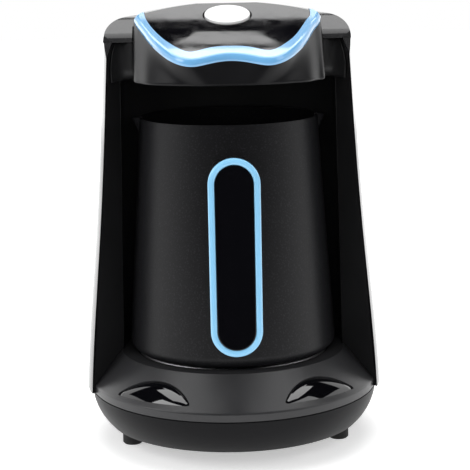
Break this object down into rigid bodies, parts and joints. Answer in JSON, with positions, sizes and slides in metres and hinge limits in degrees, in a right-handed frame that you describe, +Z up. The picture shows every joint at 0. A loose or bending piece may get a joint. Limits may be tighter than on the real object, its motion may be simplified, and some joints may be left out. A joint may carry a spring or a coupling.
{
  "type": "electric turkish coffee maker",
  "caption": "Countertop maker for Turkish coffee: round heated base, U-shaped tower with a sloped button head, and a tapered pot with side spouts and an upright handle that lifts out forwards.",
  "frame": {"origin": "middle of the footprint on the surface it stands on, on the pot's axis", "axes": "+Z up, front (pot handle) towards -Y, +X to the viewer's right"},
  "size_m": [0.1324, 0.156, 0.1942],
  "materials": {
    "housing_black": "fine matte texture",
    "shell_gloss_black": "high gloss",
    "panel_gloss_black": "high gloss",
    "trim_blue": "gloss",
    "button_white": "gloss",
    "pot_coating": "speckled non-stick coating",
    "handle_black": "satin",
    "steel": "satin",
    "cast_aluminium": "cast, satin",
    "rubber_black": "matte",
    "inner_black": "matte",
    "board_green": "solder mask",
    "component_grey": "matte",
    "lens_clear": "clear",
    "wire_grey": "insulated"
  },
  "bodies": {
    "machine": {"base_lower_shell": "housing_black", "bottom_cover": "housing_black", "base_deck": "housing_black", "inner_liner": "housing_black", "head_shell": "housing_black", "head_floor": "housing_black", "rear_shell": "shell_gloss_black", "control_panel": "panel_gloss_black", "deck_lens_left": "panel_gloss_black", "deck_lens_right": "panel_gloss_black", "panel_trim": "trim_blue", "plate_clamp_ring": "steel", "heating_element": "steel", "base_screws": "steel", "board_screws": "steel", "control_screws": "steel", "thermostat": "steel", "sensor_spring": "steel", "sensor_holder": "steel", "hot_plate": "cast_aluminium", "heat_shield": "cast_aluminium", "rubber_feet": "rubber_black", "plate_seal": "rubber_black", "cord_gland": "inner_black", "power_switch": "inner_black", "buzzer": "inner_black", "control_board": "board_green", "power_board": "board_green", "board_components": "component_grey", "status_led": "lens_clear", "foam_sensor_lens": "lens_clear", "heater_leads": "wire_grey", "head_cable": "wire_grey", "thermal_fuse": "component_grey"},
    "pot": {"pot": "pot_coating", "handle_trim": "trim_blue", "handle_insert": "panel_gloss_black", "handle_bracket": "pot_coating", "handle_rivets": "pot_coating", "handle_grip": "handle_black"},
    "button": {"power_button": "button_white", "switch_plunger": "button_white"},
    "sensor": {"sensor_plunger": "cast_aluminium"}
  },
  "joints": [
    {"name": "pot_slide", "type": "slide", "parent": "machine", "child": "pot", "axis": [0, -0.9945, 0.1045], "range_m": [0, 0.165]},
    {"name": "button_press", "type": "slide", "parent": "machine", "child": "button", "axis": [0, 0.3355, -0.9421], "range_m": [0, 0.0012], "stiffness_N_per_m": 300, "springref_m": -0.001},
    {"name": "sensor_press", "type": "slide", "parent": "machine", "child": "sensor", "axis": [0, 0, 1], "range_m": [-0.0015, 0], "stiffness_N_per_m": 300, "springref_m": 0.001, "deforming": ["sensor_spring"]}
  ]
}
